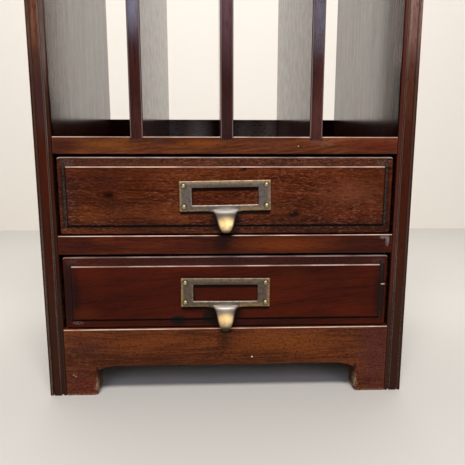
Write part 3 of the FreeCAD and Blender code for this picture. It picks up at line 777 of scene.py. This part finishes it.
def makePlate():
    # the plate about its own middle, its back on Y = 0
    size = cardPlate
    bpy.ops.mesh.primitive_cube_add(size=1, location=place(0, -size["thick"] / 2, 0),
                                    scale=place(size["wide"], size["thick"], size["high"]))
    plate = bpy.context.object
    applyPlace()
    beginEdit(plate)
    for x in (-windowHalf, windowHalf, -size["flareOut"], size["flareOut"],
              -size["flareIn"], size["flareIn"]):
        cut(place(x, 0, 0), (1, 0, 0))
    for z in (windowTop, windowLow):
        cut(place(0, 0, z), (0, 0, 1))
    pick(plate, "faces", lambda p: abs(p.x) < windowHalf and windowLow < p.z < windowTop)
    bpy.ops.mesh.delete(type="FACE")
    bpy.ops.mesh.select_mode(type="EDGE")
    bpy.ops.mesh.select_all(action="DESELECT")
    bpy.ops.mesh.select_non_manifold(extend=False, use_wire=False, use_boundary=True,
                                     use_multi_face=False, use_non_contiguous=False,
                                     use_verts=False)
    bpy.ops.mesh.bridge_edge_loops()
    # the lower edge dips where the pull leaves it
    pick(plate, "verts", lambda p: abs(p.x) < size["flareIn"] + 0.1 and p.z < -halfHigh + 0.1)
    bpy.ops.transform.translate(value=place(0, 0, -size["flareDrop"]))
    endEdit()
    finishModifier(plate, "BEVEL", width=mm(size["arris"]), segments=4, limit_method="ANGLE",
                   angle_limit=math.radians(40))
    return plate


pull = {
    # forward of the plate, height against its lower edge, half width, drop of the sides
    "stations": ((-1.4, 2.2, 12.4, 0.4), (0.3, 1.6, 12.0, 0.6), (1.2, 0.9, 11.2, 1.0),
                 (2.1, 0.1, 10.2, 1.2), (3.3, -1.1, 9.2, 1.1), (5.4, -2.8, 8.4, 0.9),
                 (8.0, -5.0, 7.8, 0.8), (10.5, -7.6, 7.1, 0.8), (12.4, -10.4, 6.2, 0.7),
                 (13.6, -13.2, 5.0, 0.6), (14.1, -15.4, 3.5, 0.4), (13.9, -16.7, 1.9, 0.2)),
    "columns": 8,
    "thick": 2.2,
}


def makePull():
    # the finger pull, drawn out of the plate station by station and arched across
    stations, columns = pull["stations"], pull["columns"]
    face = -cardPlate["thick"]
    lower = -halfHigh
    forward, height, half, _ = stations[0]
    bpy.ops.mesh.primitive_plane_add(size=1, location=(0, 0, 0))
    tongue = bpy.context.object
    beginEdit(tongue)
    # half of the plane goes, and what is left of it is an edge at Y = -0.5 m
    pick(tongue, "verts", lambda p: p.y > 0)
    bpy.ops.mesh.delete(type="VERT")
    bpy.ops.mesh.select_all(action="SELECT")
    bpy.ops.mesh.subdivide(number_cuts=columns - 1)
    bpy.ops.transform.resize(value=(mm(2 * half), 1, 1), center_override=(0, 0, 0))
    bpy.ops.transform.translate(value=place(0, face - forward, lower + height)
                                + Vector((0, 0.5, 0)))
    for (forward, height, half, _), (ahead, up, wide, _) in zip(stations, stations[1:]):
        bpy.ops.mesh.extrude_region_move(TRANSFORM_OT_translate={
            "value": place(0, forward - ahead, up - height)})
        bpy.ops.transform.resize(value=(wide / half, 1, 1),
                                 center_override=place(0, face - ahead, lower + up))
    # arch it: each column away from the middle drops square to the run of the tongue
    for index, (forward, height, half, drop) in enumerate(stations):
        before = stations[max(index - 1, 0)]
        after = stations[min(index + 1, len(stations) - 1)]
        run = Vector((0, before[0] - after[0], after[1] - before[1])).normalized()
        inward = Vector((0, -run.z, run.y))
        for column in range(1, columns // 2 + 1):
            share = 2 * column / columns
            pick(tongue, "verts", lambda p: abs(abs(p.x) - share * half) < 0.05
                 and abs(p.y - (face - forward)) < 0.02 and abs(p.z - (lower + height)) < 0.02)
            bpy.ops.transform.translate(value=inward * mm(drop * share ** 2))
    endEdit()
    finishModifier(tongue, "SOLIDIFY", thickness=mm(pull["thick"]), offset=-1.0)
    finishModifier(tongue, "SUBSURF", levels=2, render_levels=2)
    return tongue


def makeCardFrame(level, finish):
    frameAndPull = fitToDrawer(level, level + "CardFrame", (makePlate(), makePull()), finish,
                               smoothUnder=40)
    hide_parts(level + "_drawer_card_frame")


pin = {
    "x": 34.1, "z": 8.6,     # each way from the middle of the plate
    "head": 1.9, "rise": 1.0,
    "sunk": 0.25,            # the widest part of the head, behind the plate's face
}
pinsAt = tuple((x, z) for x in (-pin["x"], pin["x"]) for z in (-pin["z"], pin["z"]))


def makePinHead(x, z):
    # a flattened ball with its back half cut off
    spot = place(x, pin["sunk"] - cardPlate["thick"], z)
    bpy.ops.mesh.primitive_uv_sphere_add(segments=24, ring_count=12, radius=mm(pin["head"]),
                                         location=spot)
    head = bpy.context.object
    beginEdit(head)
    cut(spot, (0, 1, 0), clear_outer=True, use_fill=True)
    bpy.ops.mesh.select_all(action="SELECT")
    bpy.ops.transform.resize(value=(1, (pin["rise"] + pin["sunk"]) / pin["head"], 1),
                             center_override=spot)
    endEdit()
    return head


def makePins(level, finish):
    heads = [makePinHead(x, z) for x, z in pinsAt]
    pins = fitToDrawer(level, level + "CardPins", heads, finish, smoothUnder=50)
    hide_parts(level + "_drawer_card_frame_pins")


# each frame's lacquer, how far its upper edge is rubbed, and down its pull: the grey root, a
# painted reflection, the gold (colour, drop, half height) and the dark tip, painted shade
# (colour, drop, half height)
patina = {
    "upper": {"lacquer": {}, "rub": 0.95, "root": "#a8a49e", "gold": ("#bca476", 9.6, 7.8),
              "tip": ("#544b32", 17.6, 4.2)},
    "lower": {"lacquer": {"dark": "#5a5048", "light": "#726355"}, "rub": 0.35,
              "root": "#8c8883", "gold": ("#a8926a", 8.6, 7.0), "tip": ("#3a3527", 16.4, 4.6)},
}


def antiqueBrass(level, about):
    worn = patina[level]
    gold, goldDrop, goldHigh = worn["gold"]
    tip, tipDrop, tipHigh = worn["tip"]
    pinRings = tuple((x, z, 3.6, 3.6, "#3d342c", 0.75, 0.5, False) for x, z in pinsAt)
    return metal(level + "AntiqueBrass", metalLook(
        about=about, **worn["lacquer"],
        rubbed=((None, (halfHigh - 1.6, halfHigh), 1.8, "#a58d68", worn["rub"]),
                ((-halfWide, -halfWide + 1.0), None, 1.6, "#b89a66", 0.8),
                ((halfWide - 1.4, halfWide), None, 2.2, "#b08a68", 0.75),
                ((13, halfWide), (-halfHigh, -halfHigh + 2.4), 2.0, "#a88a60", 0.7),
                ((-halfWide, -15), (-halfHigh, -halfHigh + 1.0), 1.0, "#a08658", 0.6),
                # painted highlights along the window's lower edge and left end
                ((-27, 27), (-8.4, -7.5), 0.5, "#b4a48e", 0.6),
                ((-28.3, -27.5), (-7.5, 6.6), 0.5, "#a8987e", 0.5)),
        washes=pinRings
        # the pull's root painted pale grey as a reflection, then the gold that fingers rub, and
        # brown patches
        + ((0.4, -halfHigh + 0.5, 12.5, 4.0, worn["root"], 0.8, 0.6, False),
           (0.4, -halfHigh - goldDrop, 9.5, goldHigh, gold, 1.0, 0.54, False),
           (-2.5, -halfHigh - 9.5, 4.5, 6.0, "#8a6c42", 0.7, 0.5, True),
           (4.0, -halfHigh - 12.5, 3.0, 3.0, "#7a6242", 0.6, 0.5, True),
           # a painted shade under the root's lip, and a painted highlight on the lip
           (0.4, -halfHigh - 2.6, 9.0, 1.1, "#6e655c", 0.5, 0.5, False),
           (0.4, -halfHigh - 0.6, 9.8, 0.8, "#ccc6bc", 0.6, 0.5, False),
           (0, halfHigh - 4.6, 30.0, 1.6, "#54493c", 0.5, 0.5, True),
           # the dark tip, painted shade
           (0.4, -halfHigh - tipDrop, 8.5, tipHigh, tip, 0.9, 0.5, False))))


def brightBrass(level, about):
    # turned brass pins: yellow and bright, cleaned by every polishing of the case
    return metal(level + "BrightBrass", metalLook(
        about=about, dark="#9c926a", light="#c2b68a", wear=0.0, rough=0.42, grime=1.0))


for level, (height, tilt) in cardPlate["levels"].items():
    about = (cardPlate["x"], height, tilt)
    makeCardFrame(level, antiqueBrass(level, about))
    makePins(level, brightBrass(level, about))
print("card frames made")

# dull steel: grey slotted heads gone brown at the edges
steel = metal("dullSteelScrew", metalLook(dark="#57534f", light="#78736e", worn="#8d8883"))
for member in ("back_screws", "upper_drawer_bottom_nails", "lower_drawer_bottom_nails"):
    paint(nodes[member], steel)
print("screws and nails finished")

studio = {
    "floor": "#c6c3bd", "wall": "#f3ece2", "matt": 0.8,
    "wallBehind": 0.75, "half": 3.0,                              # in metres
    "air": "#f4f2ee", "airPower": 0.15,
}


def plainStage():
    # a pale floor and a paler wall behind, both in matt paint
    back = cadBox[1][1] + studio["wallBehind"]
    for key, spot, turn in (("floor", (0, 0, 0), 0), ("wall", (0, back, 0), math.pi / 2)):
        bpy.ops.mesh.primitive_plane_add(size=2 * studio["half"], location=spot,
                                         rotation=(turn, 0, 0))
        sheet = bpy.context.object
        sheet.name = key
        material, tree = newMaterial(key + "Paint")
        shader = addNode(tree, "ShaderNodeBsdfPrincipled", {
            "Base Color": studio[key], "Roughness": studio["matt"]})
        addNode(tree, "ShaderNodeOutputMaterial", {"Surface": shader})
        paint(sheet, material)


plainStage()

lamps = {
    # width, height, power, place, aim and colour, in metres and watts
    "overhead": (0.9, 0.35, 26.0, (0.0, -0.95, 1.55), (0, -0.1, 0.15), "#fffaf4"),
    "leftWindow": (0.56, 0.75, 6.8, (-0.46, -1.65, 1.12), (0, -0.1, 0.2), "#e0e9ff"),
    "rightWindow": (0.64, 0.75, 5.9, (0.62, -1.65, 1.04), (0, -0.1, 0.2), "#e4ebff"),
    "wallWash": (1.8, 0.8, 19.7, (0.0, 0.30, 2.0), (0, 0.85, 0.35), "#ffffff"),
}
for name, (wide, high, power, spot, aim, tint) in lamps.items():
    bpy.ops.object.light_add(type="AREA", location=spot)
    lamp = bpy.context.object
    lamp.name = name
    lamp.data.shape = "RECTANGLE"
    lamp.data.size, lamp.data.size_y = wide, high
    lamp.data.energy = power
    lamp.data.color = hexColour(tint)[:3]
    lamp.rotation_euler = (Vector(aim) - Vector(spot)).to_track_quat("-Z", "Y").to_euler()

world = bpy.data.worlds.new("studioWorld")
world.use_nodes = True
air = world.node_tree.nodes["Background"]
air.inputs["Color"].default_value = hexColour(studio["air"])
air.inputs["Strength"].default_value = studio["airPower"]
bpy.context.scene.world = world

view = {
    "lens": 34.71, "sensor": 36.0,
    "left": 8.45,                    # of the middle of the case
    "before": 370.23,                # in front of the front plane
    "above": 202.46,
    "down": 9.013, "right": 2.0005,  # turned by so many degrees
}
bpy.ops.object.camera_add(
    location=place(-view["left"], frontPlane - view["before"], view["above"]),
    rotation=(math.radians(90 - view["down"]), 0, math.radians(-view["right"])))
camera = bpy.context.object
camera.data.lens = view["lens"]
camera.data.sensor_width = view["sensor"]
bpy.context.scene.camera = camera
bpy.context.scene.view_settings.view_transform = "Standard"
print("stage set")
